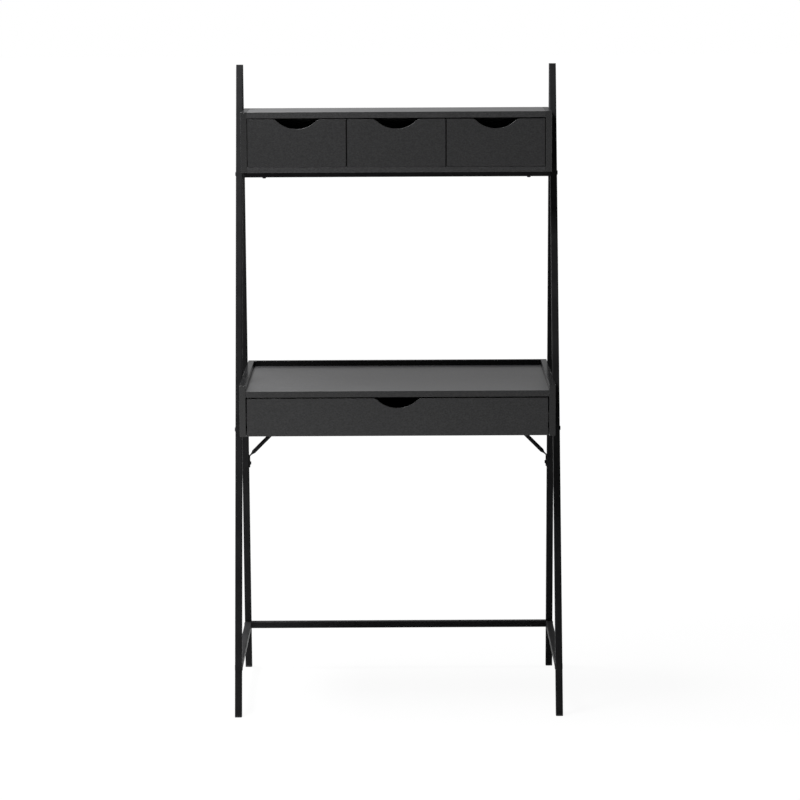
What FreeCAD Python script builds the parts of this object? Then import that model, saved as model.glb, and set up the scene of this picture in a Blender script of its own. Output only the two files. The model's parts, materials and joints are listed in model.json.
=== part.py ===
import FreeCAD, Part
import math
import os

import Sketcher

# A ladder desk: two steel A-frames carry a worktop with one wide drawer and, above it, a hutch with a
# row of three small drawers. Millimetres, +Z up, +Y away from the sitter. The origin is on the floor
# at the centre of the footprint.

SIZES = {
    # steel side frames
    "overall_width": 747,
    "overall_depth": 480,
    "overall_height": 1460,
    "rear_lean": 60,
    "tube": 16,
    "tube_wall": 1.2,
    "tube_round": 2.5,
    "tube_end": 4,
    "stretcher_height": 97.2,
    "foot_cap": 4,
    "top_cap": 2,
    "cap_plug": 16,
    "cap_play": 0.2,
    # boards
    "board": 14,
    "back_board": 9,
    "edge_round": 0.6,
    # desk unit
    "desk_setback": 72,
    "desk_surface": 739,
    "desk_lip": 13,
    "desk_side_height": 117,
    "desk_floor_board": 9,
    "desk_tube_drop": 9,
    "desk_front_lift": 1,
    "notch_play": 0.5,
    # hutch
    "hutch_drop": 242,
    "hutch_overhang": 13,
    "hutch_depth": 173,
    "hutch_height": 139,
    "hutch_floor_board": 12,
    "divider_board": 9,
    # drawers
    "front_gap": 2.6,
    "floor_gap": 0.5,
    "box_play": 2,
    "rear_gap": 3,
    "drawer_bottom": 3,
    "groove_depth": 4,
    "groove_rise": 6,
    "hutch_drawer_board": 9,
    "hutch_drawer_height": 92,
    "desk_drawer_board": 12,
    "desk_drawer_height": 58,
    "desk_drawer_lift": 4.5,
    "scoop_width": 112,
    "scoop_depth": 22.5,
    "scoop_round": 16,
    # drawer runners
    "runner_space": 12.5,
    "runner_reach": 11,
    "runner_height": 24,
    "runner_rear_space": 55,
    "runner_wall": 1.2,
    "runner_play": 0.3,
    "runner_rise": 8,
    # corner braces
    "brace_run": 117,
    "brace_tab": 28,
    "brace_strip": 2.5,
    "brace_width": 12,
    "brace_rod": 9.5,
    "brace_flat": 6,
    "brace_taper": 9,
    "brace_screw_inset": 10,
    # fasteners
    "bolt_shank": 6,
    "bolt_head": 10,
    "bolt_head_height": 1.6,
    "bolt_socket": 4.6,
    "bolt_socket_depth": 2.6,
    "bolt_grip": 8,
    "bolt_play": 0.1,
    "insert_outside": 9,
    "insert_length": 11,
    "screw_shank": 4,
    "screw_head": 8.5,
    "screw_head_height": 2.6,
    "screw_socket": 3,
    "screw_socket_depth": 1.8,
    "screw_grip": 6,
    "screw_from_leg": 49.5,
}

SIDES = {"left": -1, "right": 1}
BAYS = {"left": -1, "middle": 0, "right": 1}

# Places that several pieces share, as expressions on the sheet.
LEG_X = "((sizes.overall_width - sizes.tube) / 2)"
LEG_OUTER = "(sizes.overall_width / 2)"
LEG_INNER = "(sizes.overall_width / 2 - sizes.tube)"
BOARD_INNER = "(sizes.overall_width / 2 - sizes.tube - sizes.board)"
FRONT = "(-sizes.overall_depth / 2)"
REAR = "(sizes.overall_depth / 2)"
LEG_FOOT = "sizes.foot_cap"
LEG_TOP = "(sizes.overall_height - sizes.top_cap)"

# A leaning tube is wider when measured along the floor than square to its own axis.
REAR_THICK = "(sizes.tube * sqrt(1 + (sizes.rear_lean / sizes.overall_height) ^ 2))"
FRONT_RUN = f"(sizes.overall_depth - sizes.rear_lean - {REAR_THICK})"
FRONT_THICK = f"(sizes.tube * sqrt(1 + ({FRONT_RUN} / sizes.overall_height) ^ 2))"

DESK_FRONT = f"({FRONT} + sizes.desk_setback)"
DESK_LIP_TOP = "(sizes.desk_surface + sizes.desk_lip)"
DESK_BOTTOM = f"({DESK_LIP_TOP} - sizes.desk_side_height)"
DESK_UNDER = "(sizes.desk_surface - sizes.board)"
DESK_TUBE_LOW = f"({DESK_BOTTOM} - sizes.desk_tube_drop)"
DESK_TUBE_TOP = f"({DESK_TUBE_LOW} + sizes.tube)"
DESK_FLOOR_TOP = f"({DESK_TUBE_TOP} + sizes.desk_floor_board)"
DESK_BACK = f"({REAR} - sizes.back_board)"
DESK_BOLT_Z = f"({DESK_LIP_TOP} - sizes.desk_side_height / 2)"
RUNNER_START = f"({DESK_FRONT} + sizes.board)"
RUNNER_END = f"({DESK_BACK} - sizes.runner_rear_space)"

# The hutch hangs from the top of the frames, with its back a little behind the rear legs.
HUTCH_BASE = "(sizes.overall_height - sizes.hutch_drop)"
HUTCH_TOP = f"({HUTCH_BASE} + sizes.hutch_height)"
HUTCH_UNDER = f"({HUTCH_TOP} - sizes.board)"
HUTCH_FLOOR_TOP = f"({HUTCH_BASE} + sizes.hutch_floor_board)"
HUTCH_TUBE_LOW = f"({HUTCH_BASE} - sizes.tube)"
HUTCH_BOLT_Z = f"({HUTCH_BASE} + sizes.hutch_height / 2)"
HUTCH_REAR = f"({REAR} - sizes.rear_lean * {HUTCH_BOLT_Z} / sizes.overall_height + sizes.hutch_overhang)"
HUTCH_FRONT = f"({HUTCH_REAR} - sizes.hutch_depth)"
HUTCH_BACK = f"({HUTCH_REAR} - sizes.back_board)"
HUTCH_BAY = f"(2 * {BOARD_INNER} / 3)"

BRACE_LOW = f"({DESK_TUBE_TOP} - sizes.brace_run - sizes.brace_tab)"
BRACE_SCREW_Z = f"({BRACE_LOW} + sizes.brace_screw_inset)"
BRACE_SCREW_X = f"({LEG_INNER} - sizes.brace_run - sizes.brace_tab + sizes.brace_screw_inset)"

SCREW_X = f"({LEG_INNER} - sizes.screw_from_leg)"
BOLT_HOLE = "(sizes.bolt_shank + 2 * sizes.bolt_play)"
SCREW_HOLE = "(sizes.screw_shank + 2 * sizes.bolt_play)"

X_AXIS = FreeCAD.Vector(1, 0, 0)
Y_AXIS = FreeCAD.Vector(0, 1, 0)
Z_AXIS = FreeCAD.Vector(0, 0, 1)
UPRIGHT = FreeCAD.Rotation(Z_AXIS, 0)
TURNED_DOWN = FreeCAD.Rotation(X_AXIS, 180)
ALONG_X = FreeCAD.Rotation(Y_AXIS, 90)
ALONG_MINUS_X = FreeCAD.Rotation(Y_AXIS, -90)

doc = FreeCAD.newDocument("ladder_desk")
sheet = doc.addObject("Spreadsheet::Sheet", "sizes")
pieces = []


def fill_sheet():
    """Write the driving dimensions, one row each."""
    for row, (alias, value) in enumerate(SIZES.items(), start=1):
        sheet.set(f"A{row}", alias)
        sheet.set(f"B{row}", str(value))
        sheet.setAlias(f"B{row}", alias)
    doc.recompute()


def rear_leg_back(z):
    """Y of a rear leg's back face at height z."""
    return f"({REAR} - sizes.rear_lean * {z} / sizes.overall_height)"


def rear_leg_front(z):
    """Y of a rear leg's front face at height z."""
    return f"({rear_leg_back(z)} - {REAR_THICK})"


def rear_leg_middle(z):
    """Y of a rear leg's axis at height z."""
    return f"({rear_leg_back(z)} - {REAR_THICK} / 2)"


def front_leg_front(z):
    """Y of a front leg's front face at height z."""
    return f"({FRONT} + {FRONT_RUN} * {z} / sizes.overall_height)"


def front_leg_back(z):
    """Y of a front leg's back face at height z."""
    return f"({front_leg_front(z)} + {FRONT_THICK})"


def front_leg_middle(z):
    """Y of a front leg's axis at height z."""
    return f"({front_leg_front(z)} + {FRONT_THICK} / 2)"


def mirrored(sign, low, high):
    """A span on +X, or its mirror image on -X, as low and high expressions."""
    if sign > 0:
        return low, high
    return f"(-{high})", f"(-{low})"


def new_body(label):
    """An empty body with its label."""
    body = doc.addObject("PartDesign::Body", label)
    body.Label = label
    return body


def keep(piece):
    """Mark an object as one of the pieces to write out."""
    pieces.append(piece)
    return piece


def place(feature, point, rotation=UPRIGHT):
    """Turn a feature and bind its base point to the sheet."""
    feature.Placement = FreeCAD.Placement(FreeCAD.Vector(0, 0, 0), rotation)
    for axis, expression in zip("xyz", point):
        feature.setExpression(f"Placement.Base.{axis}", expression)


def add_box(body, kind, low, high):
    """Add or cut a box that runs from one corner to the other."""
    box = body.newObject(f"PartDesign::{kind}Box", f"{body.Name}_box")
    for side, start, end in zip(("Length", "Width", "Height"), low, high):
        box.setExpression(side, f"{end} - {start}")
    place(box, low)
    return box


def add_round(body, kind, diameter, length, point, rotation):
    """Add or cut a cylinder from a point along the turned Z axis."""
    cylinder = body.newObject(f"PartDesign::{kind}Cylinder", f"{body.Name}_round")
    cylinder.setExpression("Radius", f"{diameter} / 2")
    cylinder.setExpression("Height", length)
    place(cylinder, point, rotation)
    return cylinder


def new_sketch(body, role, offset="0"):
    """A sketch on one of the body's own origin planes, moved along the plane's normal."""
    sketch = body.newObject("Sketcher::SketchObject", f"{body.Name}_sketch")
    plane = next(item for item in body.Origin.OriginFeatures if item.Role == role)
    sketch.AttachmentSupport = (plane, [""])
    sketch.MapMode = "FlatFace"
    sketch.setExpression("AttachmentOffset.Base.z", offset)
    return sketch


def arc_between(start, end, radius, turns_left):
    """The shorter arc of a given radius from start to end."""
    chord = end - start
    middle = (start + end) * 0.5
    normal = FreeCAD.Vector(-chord.y, chord.x, 0).normalize()
    rise = math.sqrt(radius ** 2 - (chord.Length / 2) ** 2)
    centre = middle + normal * (rise if turns_left else -rise)
    first, last = (start, end) if turns_left else (end, start)
    angles = [math.atan2(point.y - centre.y, point.x - centre.x) for point in (first, last)]
    return Part.ArcOfCircle(Part.Circle(centre, Z_AXIS, radius), *angles)


def draw_outline(sketch, points):
    """Draw a closed outline whose corners are bound to the sheet.

    Each point is (x, y), or (x, y, radius, turn) where an arc leads to the next point.
    """
    first = sketch.GeometryCount
    count = len(points)
    places = [FreeCAD.Vector(*(sheet.evalExpression(part) for part in point[:2]), 0) for point in points]
    ends = []
    for index, point in enumerate(points):
        start, end = places[index], places[(index + 1) % count]
        if len(point) == 2:
            sketch.addGeometry(Part.LineSegment(start, end))
            ends.append((1, 2))
            continue
        turns_left = point[3] == "left"
        radius = sheet.evalExpression(point[2])
        edge = sketch.addGeometry(arc_between(start, end, radius, turns_left))
        ends.append((1, 2) if turns_left else (2, 1))
        constraint = sketch.addConstraint(Sketcher.Constraint("Radius", edge, radius))
        sketch.setExpression(f"Constraints[{constraint}]", point[2])
    for index, point in enumerate(points):
        following = (index + 1) % count
        this_end = (first + index, ends[index][1])
        next_start = (first + following, ends[following][0])
        sketch.addConstraint(Sketcher.Constraint("Coincident", *this_end, *next_start))
        for kind, expression in zip(("DistanceX", "DistanceY"), point):
            value = sheet.evalExpression(expression)
            corner = (first + index, ends[index][0])
            constraint = sketch.addConstraint(Sketcher.Constraint(kind, -1, 1, *corner, value))
            sketch.setExpression(f"Constraints[{constraint}]", expression)


def rectangle(low, high):
    """The four corners of a rectangle."""
    return [(low[0], low[1]), (high[0], low[1]), (high[0], high[1]), (low[0], high[1])]


def rounded_rectangle(low, high, radius):
    """A rectangle with rounded corners, as outline points."""
    (x_low, y_low), (x_high, y_high) = low, high
    return [
        (f"{x_low} + {radius}", y_low),
        (f"{x_high} - {radius}", y_low, radius, "left"),
        (x_high, f"{y_low} + {radius}"),
        (x_high, f"{y_high} - {radius}", radius, "left"),
        (f"{x_high} - {radius}", y_high),
        (f"{x_low} + {radius}", y_high, radius, "left"),
        (x_low, f"{y_high} - {radius}"),
        (x_low, f"{y_low} + {radius}", radius, "left"),
    ]


def draw_tube_section(sketch, low, high, stretch="1"):
    """A square tube's section: rounded outside, plain bore. A leaning tube is stretched along Y."""
    wall = ("sizes.tube_wall", f"(sizes.tube_wall * {stretch})")
    draw_outline(sketch, rounded_rectangle(low, high, "sizes.tube_round"))
    bore_low = [f"({start} + {side})" for start, side in zip(low, wall)]
    bore_high = [f"({end} - {side})" for end, side in zip(high, wall)]
    draw_outline(sketch, rectangle(bore_low, bore_high))


def add_pad(body, sketch, length, both_ways=False, backwards=False):
    """Pad a sketch along its normal."""
    pad = body.newObject("PartDesign::Pad", f"{body.Name}_pad")
    pad.Profile = sketch
    pad.setExpression("Length", length)
    pad.Midplane = both_ways
    pad.Reversed = backwards
    return pad


def lean_pad(pad, run):
    """Tilt a pad so that it goes back by run over the overall height. Its ends stay level."""
    pad.UseCustomVector = True
    pad.AlongSketchNormal = True
    pad.setExpression("Direction.x", "0")
    pad.setExpression("Direction.y", run)
    pad.setExpression("Direction.z", "sizes.overall_height")


def cut_side_outline(body, points, width):
    """Cut an outline drawn in the side view right across the piece."""
    sketch = new_sketch(body, "YZ_Plane")
    draw_outline(sketch, points)
    pocket = body.newObject("PartDesign::Pocket", f"{body.Name}_pocket")
    pocket.Profile = sketch
    pocket.setExpression("Length", width)
    pocket.Midplane = True
    return pocket


def ease_edges(body):
    """Round every edge of the body a little, as edge banding is."""
    doc.recompute()
    fillet = body.newObject("PartDesign::Fillet", f"{body.Name}_eased")
    fillet.Base = (body.Tip if body.Tip != fillet else fillet.BaseFeature, [""])
    fillet.UseAllEdges = True
    fillet.setExpression("Radius", "sizes.edge_round")
    return fillet


def board(label, low, high):
    """A board with eased edges between two corners."""
    body = keep(new_body(label))
    add_box(body, "Additive", low, high)
    ease_edges(body)
    return body


def leg_hole(body, sign, y, z, diameter, inner_only=False):
    """Drill a leg along X, through both walls or through the inner wall alone."""
    start = "0" if inner_only else "-sizes.tube"
    length = "sizes.tube" if inner_only else "2 * sizes.tube"
    rotation = ALONG_MINUS_X if inner_only and sign > 0 else ALONG_X
    add_round(body, "Subtractive", diameter, length, (start, y, z), rotation)


def leg_section(z, front, back):
    """The corners of a leg's section at height z, about its own axis in X."""
    return ("(-sizes.tube / 2)", front(z)), ("(sizes.tube / 2)", back(z))


def rear_leg(side, sign):
    """A rear leg, from its foot cap to its top cap."""
    body = keep(new_body(f"{side}_rear_leg"))
    sketch = new_sketch(body, "XY_Plane", LEG_FOOT)
    low, high = leg_section(LEG_FOOT, rear_leg_front, rear_leg_back)
    draw_tube_section(sketch, low, high, f"{REAR_THICK} / sizes.tube")
    lean_pad(add_pad(body, sketch, f"{LEG_TOP} - {LEG_FOOT}"), "-sizes.rear_lean")
    bar_z = "(sizes.stretcher_height + sizes.tube / 2)"
    for z in (bar_z, DESK_BOLT_Z, HUTCH_BOLT_Z):
        leg_hole(body, sign, rear_leg_middle(z), z, BOLT_HOLE)
    leg_hole(body, sign, rear_leg_middle(BRACE_SCREW_Z), BRACE_SCREW_Z, SCREW_HOLE, inner_only=True)
    body.setExpression("Placement.Base.x", f"{sign} * {LEG_X}")


def front_leg(side, sign):
    """A front leg, mitred along the rear leg's front face where the two meet."""
    body = keep(new_body(f"{side}_front_leg"))
    sketch = new_sketch(body, "XY_Plane", LEG_FOOT)
    low, high = leg_section(LEG_FOOT, front_leg_front, front_leg_back)
    draw_tube_section(sketch, low, high, f"{FRONT_THICK} / sizes.tube")
    lean_pad(add_pad(body, sketch, f"{LEG_TOP} - {LEG_FOOT}"), FRONT_RUN)
    behind = f"({REAR} + sizes.tube)"
    above = "(sizes.overall_height + sizes.tube)"
    mitre = [(rear_leg_front("0"), "0"), (behind, "0"), (behind, above), (rear_leg_front(above), above)]
    cut_side_outline(body, mitre, "2 * sizes.tube")
    for z in (f"({DESK_TUBE_LOW} + sizes.tube / 2)", f"({HUTCH_TUBE_LOW} + sizes.tube / 2)"):
        leg_hole(body, sign, front_leg_middle(z), z, BOLT_HOLE)
    body.setExpression("Placement.Base.x", f"{sign} * {LEG_X}")


def end_cap(label, sign, faces, run, stretch, flange_z, flange, plug_z):
    """A plastic cap: a flange in line with the leg and a plug in its bore."""
    body = new_body(label)
    sketch = new_sketch(body, "XY_Plane", flange_z)
    low, high = leg_section(flange_z, *faces)
    draw_outline(sketch, rounded_rectangle(low, high, "sizes.tube_round"))
    lean_pad(add_pad(body, sketch, flange), run)
    inset = ("(sizes.tube_wall + sizes.cap_play)", f"((sizes.tube_wall + sizes.cap_play) * {stretch})")
    low, high = leg_section(plug_z, *faces)
    plug_low = [f"({start} + {side})" for start, side in zip(low, inset)]
    plug_high = [f"({end} - {side})" for end, side in zip(high, inset)]
    plug = new_sketch(body, "XY_Plane", plug_z)
    draw_outline(plug, rectangle(plug_low, plug_high))
    lean_pad(add_pad(body, plug, "sizes.cap_plug"), run)
    body.setExpression("Placement.Base.x", f"{sign} * {LEG_X}")
    return body


def group(label, members):
    """Several like solids in one node."""
    compound = keep(doc.addObject("Part::Compound", label))
    compound.Label = label
    compound.Links = members
    return compound


def end_caps():
    """Feet under all four legs, and the caps on top of the rear legs."""
    rear = ((rear_leg_front, rear_leg_back), "-sizes.rear_lean", f"({REAR_THICK} / sizes.tube)")
    front = ((front_leg_front, front_leg_back), FRONT_RUN, f"({FRONT_THICK} / sizes.tube)")
    top_plug = f"({LEG_TOP} - sizes.cap_plug)"
    foot = ("0", "sizes.foot_cap", "sizes.foot_cap")
    top = (LEG_TOP, "sizes.top_cap", top_plug)
    for label, leg, heights in (
        ("front_foot_caps", front, foot),
        ("rear_foot_caps", rear, foot),
        ("leg_top_caps", rear, top),
    ):
        caps = [end_cap(f"{side}_{label}", sign, *leg, *heights) for side, sign in SIDES.items()]
        group(label, caps)


def side_stretcher(side, sign):
    """The low tube between the front and the rear leg of one side."""
    body = keep(new_body(f"{side}_side_stretcher"))
    sketch = new_sketch(body, "XZ_Plane")
    top = "(sizes.stretcher_height + sizes.tube)"
    draw_tube_section(sketch, ("(-sizes.tube / 2)", "sizes.stretcher_height"), ("(sizes.tube / 2)", top))
    add_pad(body, sketch, "sizes.overall_depth", both_ways=True)
    above = f"({top} + sizes.tube)"
    for face, beyond in ((front_leg_back, FRONT), (rear_leg_front, REAR)):
        outside = f"({beyond} * 2)"
        cut_side_outline(body, [(face("0"), "0"), (outside, "0"), (outside, above), (face(above), above)],
                         "2 * sizes.tube")
    body.setExpression("Placement.Base.x", f"{sign} * {LEG_X}")


def cross_tube(label, y, z_low, screwed=False):
    """A tube from one side frame to the other, with solid ends tapped for the bolts."""
    body = keep(new_body(label))
    half = "sizes.tube / 2"
    low, high = (f"({y} - {half})", z_low), (f"({y} + {half})", f"({z_low} + sizes.tube)")
    sketch = new_sketch(body, "YZ_Plane")
    draw_tube_section(sketch, low, high)
    add_pad(body, sketch, f"2 * {LEG_INNER}", both_ways=True)
    inside = f"({LEG_INNER} - sizes.tube_end)"
    for sign in SIDES.values():
        start, end = mirrored(sign, inside, LEG_INNER)
        add_box(body, "Additive", (start, f"({low[0]} + sizes.tube_wall)", f"({low[1]} + sizes.tube_wall)"),
                (end, f"({high[0]} - sizes.tube_wall)", f"({high[1]} - sizes.tube_wall)"))
    for sign in SIDES.values():
        start, end = mirrored(sign, f"({inside} - sizes.tube_end)", f"({LEG_INNER} + sizes.tube_end)")
        point = (start, y, f"({z_low} + {half})")
        add_round(body, "Subtractive", BOLT_HOLE, f"{end} - {start}", point, ALONG_X)
    if screwed:
        for sign in SIDES.values():
            point = (f"{sign} * {SCREW_X}", y, f"({z_low} - {half})")
            add_round(body, "Subtractive", SCREW_HOLE, "2 * sizes.tube", point, UPRIGHT)
    return body


def slanted_sketch(body, point, angle):
    """A sketch through a point of the front view, square to a line that rises there at an angle."""
    sketch = new_sketch(body, "YZ_Plane", point[0])
    sketch.AttachmentOffset = FreeCAD.Placement(FreeCAD.Vector(0, 0, 0), FreeCAD.Rotation(X_AXIS, angle))
    sketch.setExpression("AttachmentOffset.Base.x", point[1])
    sketch.setExpression("AttachmentOffset.Base.y", point[2])
    return sketch


def squeezed_end(body, flat_point, round_point, angle):
    """The stretch of a brace that goes over from the flat strip to the round rod."""
    strip = slanted_sketch(body, flat_point, angle)
    width, thickness = "(sizes.brace_width / 2)", "(sizes.brace_strip / 2)"
    draw_outline(strip, rectangle((f"(-{width})", f"(-{thickness})"), (width, thickness)))
    rod = slanted_sketch(body, round_point, angle)
    radius = "(sizes.brace_rod / 2)"
    corner = f"({radius} / sqrt(2))"
    corners = rectangle((f"(-{corner})", f"(-{corner})"), (corner, corner))
    draw_outline(rod, [(x, z, radius, "left") for x, z in corners])
    loft = body.newObject("PartDesign::AdditiveLoft", f"{body.Name}_squeezed")
    loft.Profile = strip
    loft.Sections = [rod]
    loft.Ruled = True


def brace(side, sign):
    """A corner brace: a round rod with flattened ends, bent flat against the leg and the desk floor."""
    body = keep(new_body(f"{side}_corner_brace"))
    y = rear_leg_middle(BRACE_SCREW_Z)
    slant = "(sizes.brace_strip * (sqrt(2) - 1))"
    flat = "(sizes.brace_flat / sqrt(2))"
    taper = "(sizes.brace_taper / sqrt(2))"
    across = "(sizes.brace_strip / sqrt(2))"
    knee = f"({BRACE_LOW} + sizes.brace_tab)"
    inner_face = f"({LEG_INNER} - sizes.brace_strip)"
    reach = f"({LEG_INNER} - sizes.brace_run)"
    tip = f"({reach} - sizes.brace_tab)"
    underside = f"({DESK_TUBE_TOP} - sizes.brace_strip)"
    leg_tab = [
        (LEG_INNER, BRACE_LOW),
        (LEG_INNER, knee),
        (f"({LEG_INNER} - {flat})", f"({knee} + {flat})"),
        (f"({LEG_INNER} - {flat} - {across})", f"({knee} + {flat} - {across})"),
        (inner_face, f"({knee} - {slant})"),
        (inner_face, BRACE_LOW),
    ]
    floor_tab = [
        (tip, DESK_TUBE_TOP),
        (tip, underside),
        (f"({reach} - {slant})", underside),
        (f"({reach} + {flat} - {across})", f"({DESK_TUBE_TOP} - {flat} - {across})"),
        (f"({reach} + {flat})", f"({DESK_TUBE_TOP} - {flat})"),
        (reach, DESK_TUBE_TOP),
    ]

    def add_tab(outline):
        """Add one flattened end, bent to lie on what it is screwed to."""
        sketch = new_sketch(body, "XZ_Plane", f"-{y}")
        draw_outline(sketch, [(f"{sign} * {x}", z) for x, z in outline])
        add_pad(body, sketch, "sizes.brace_width", both_ways=True)

    def along(step):
        """The point on the rod's axis that is step away from the knee along X and Z."""
        return f"{sign} * ({LEG_INNER} - {across} / 2 - {step})", y, f"({knee} - {across} / 2 + {step})"

    angle = 45 * sign
    ends = (f"({flat} + {taper})", f"(sizes.brace_run - {flat} - {taper})")
    add_tab(leg_tab)
    squeezed_end(body, along(flat), along(ends[0]), angle)
    rod_length = "((sizes.brace_run * sqrt(2)) - 2 * (sizes.brace_flat + sizes.brace_taper))"
    rotation = FreeCAD.Rotation(Y_AXIS, -angle)
    add_round(body, "Additive", "sizes.brace_rod", rod_length, along(ends[0]), rotation)
    squeezed_end(body, along(f"(sizes.brace_run - {flat})"), along(ends[1]), angle)
    add_tab(floor_tab)
    start, end = mirrored(sign, f"({inner_face} - sizes.tube)", f"({LEG_INNER} + sizes.tube)")
    add_round(body, "Subtractive", SCREW_HOLE, f"{end} - {start}", (start, y, BRACE_SCREW_Z), ALONG_X)
    low_point = (f"{sign} * {BRACE_SCREW_X}", y, f"({underside} - sizes.brace_strip)")
    add_round(body, "Subtractive", SCREW_HOLE, "4 * sizes.brace_strip", low_point, UPRIGHT)


def insert_hole(body, sign, y, z):
    """A blind hole for a threaded insert, from a side board's outer face."""
    start, end = mirrored(sign, f"({LEG_INNER} - sizes.insert_length)", f"({LEG_INNER} + sizes.tube)")
    diameter = "(sizes.insert_outside + 2 * sizes.bolt_play)"
    add_round(body, "Subtractive", diameter, f"{end} - {start}", (start, y, z), ALONG_X)


def screw_holes(body, points):
    """Blind holes for screws that come up from below a board."""
    for point in points:
        add_round(body, "Subtractive", SCREW_HOLE, "sizes.screw_grip", point, UPRIGHT)


def desk_unit():
    """The worktop with its raised rim, and the case for the wide drawer."""
    left = f"(-{BOARD_INNER})"
    board("worktop", (left, DESK_FRONT, DESK_UNDER), (BOARD_INNER, DESK_BACK, "sizes.desk_surface"))
    board("desk_back", (left, DESK_BACK, DESK_TUBE_TOP), (BOARD_INNER, REAR, DESK_LIP_TOP))
    tube_y = front_leg_middle(f"({DESK_TUBE_LOW} + sizes.tube / 2)")
    reach = "(sizes.tube / 2 + sizes.notch_play)"
    for side, sign in SIDES.items():
        start, end = mirrored(sign, BOARD_INNER, LEG_INNER)
        panel = board(f"desk_{side}_side", (start, DESK_FRONT, DESK_BOTTOM), (end, REAR, DESK_LIP_TOP))
        insert_hole(panel, sign, rear_leg_middle(DESK_BOLT_Z), DESK_BOLT_Z)
        notch_low = (f"({start} - sizes.board)", f"({tube_y} - {reach})", DESK_TUBE_LOW)
        notch_high = (f"({end} + sizes.board)", f"({tube_y} + {reach})", DESK_TUBE_TOP)
        add_box(panel, "Subtractive", notch_low, notch_high)
    front = f"({DESK_FRONT} + sizes.board + sizes.front_gap)"
    floor = board("desk_floor", (left, front, DESK_TUBE_TOP), (BOARD_INNER, DESK_BACK, DESK_FLOOR_TOP))
    # A strip under the front of the floor closes the sight line below the drawer front's ends.
    strip_low = (left, front, f"({DESK_BOTTOM} + sizes.desk_front_lift)")
    strip_high = (BOARD_INNER, f"({front} + sizes.board)", f"({DESK_TUBE_TOP} + sizes.desk_floor_board / 2)")
    add_box(floor, "Additive", strip_low, strip_high)
    brace_y = rear_leg_middle(BRACE_SCREW_Z)
    screw_holes(floor, [(f"{sign} * {SCREW_X}", tube_y, DESK_TUBE_TOP) for sign in SIDES.values()])
    screw_holes(floor, [(f"{sign} * {BRACE_SCREW_X}", brace_y, DESK_TUBE_TOP) for sign in SIDES.values()])


def hutch():
    """The open case on top, with two dividers between its bays."""
    left = f"(-{BOARD_INNER})"
    board("hutch_top", (left, HUTCH_FRONT, HUTCH_UNDER), (BOARD_INNER, HUTCH_REAR, HUTCH_TOP))
    floor = board("hutch_floor", (left, HUTCH_FRONT, HUTCH_BASE), (BOARD_INNER, HUTCH_REAR, HUTCH_FLOOR_TOP))
    tube_y = front_leg_middle(f"({HUTCH_TUBE_LOW} + sizes.tube / 2)")
    screw_holes(floor, [(f"{sign} * {SCREW_X}", tube_y, HUTCH_BASE) for sign in SIDES.values()])
    board("hutch_back", (left, HUTCH_BACK, HUTCH_FLOOR_TOP), (BOARD_INNER, HUTCH_REAR, HUTCH_UNDER))
    divider_front = f"({HUTCH_FRONT} + sizes.board + sizes.front_gap)"
    for side, sign in SIDES.items():
        start, end = mirrored(sign, BOARD_INNER, LEG_INNER)
        panel = board(f"hutch_{side}_side", (start, HUTCH_FRONT, HUTCH_BASE), (end, HUTCH_REAR, HUTCH_TOP))
        insert_hole(panel, sign, rear_leg_middle(HUTCH_BOLT_Z), HUTCH_BOLT_Z)
        near = f"({sign} * {HUTCH_BAY} / 2 - sizes.divider_board / 2)"
        far = f"({sign} * {HUTCH_BAY} / 2 + sizes.divider_board / 2)"
        board(f"hutch_{side}_divider", (near, divider_front, HUTCH_FLOOR_TOP), (far, HUTCH_BACK, HUTCH_UNDER))


def drawer_front(label, x, low, high, y):
    """A drawer front with a finger scoop in its top edge."""
    body = keep(new_body(label))
    half = "(sizes.scoop_width / 2)"
    # The scoop's wide arc and its rounded shoulders touch where the line of their centres crosses them.
    centres = f"(({half} ^ 2 / sizes.scoop_depth + sizes.scoop_depth) / 2)"
    bowl = f"({centres} - sizes.scoop_round)"
    join_x = f"({half} * {bowl} / {centres})"
    join_z = f"({high[1]} - sizes.scoop_round * sizes.scoop_depth / {centres})"
    outline = [
        (low[0], low[1]),
        (high[0], low[1]),
        (high[0], high[1]),
        (f"({x} + {half})", high[1], "sizes.scoop_round", "left"),
        (f"({x} + {join_x})", join_z, bowl, "right"),
        (f"({x} - {join_x})", join_z, "sizes.scoop_round", "left"),
        (f"({x} - {half})", high[1]),
        (low[0], high[1]),
    ]
    sketch = new_sketch(body, "XZ_Plane", f"-{y}")
    draw_outline(sketch, outline)
    add_pad(body, sketch, "sizes.board", backwards=True)
    ease_edges(body)
    return body


def drawer(name, x, front_low, front_high, front_y, box_half, box_low, box_height, box_rear, wall):
    """A drawer: scooped front, two sides, a back, and a thin bottom held in grooves."""
    behind_front = f"({front_y} + sizes.board)"
    box_top = f"({box_low} + {box_height})"
    inner_half = f"({box_half} - {wall})"
    panel_low = (
        f"({x} - {inner_half} - sizes.groove_depth)",
        f"({behind_front} - sizes.groove_depth)",
        f"({box_low} + sizes.groove_rise)",
    )
    panel_high = (
        f"({x} + {inner_half} + sizes.groove_depth)",
        f"({box_rear} - {wall} + sizes.groove_depth)",
        f"({box_low} + sizes.groove_rise + sizes.drawer_bottom)",
    )
    members = [drawer_front(f"{name}_front", x, front_low, front_high, front_y)]
    for side, sign in SIDES.items():
        start, end = mirrored(sign, inner_half, box_half)
        members.append(board(f"{name}_{side}_side", (f"({x} + {start})", behind_front, box_low),
                             (f"({x} + {end})", box_rear, box_top)))
    members.append(board(f"{name}_back", (f"({x} - {inner_half})", f"({box_rear} - {wall})", box_low),
                         (f"({x} + {inner_half})", box_rear, box_top)))
    for member in members:
        add_box(member, "Subtractive", panel_low, panel_high)
    bottom = keep(new_body(f"{name}_bottom"))
    add_box(bottom, "Additive", panel_low, panel_high)


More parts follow.
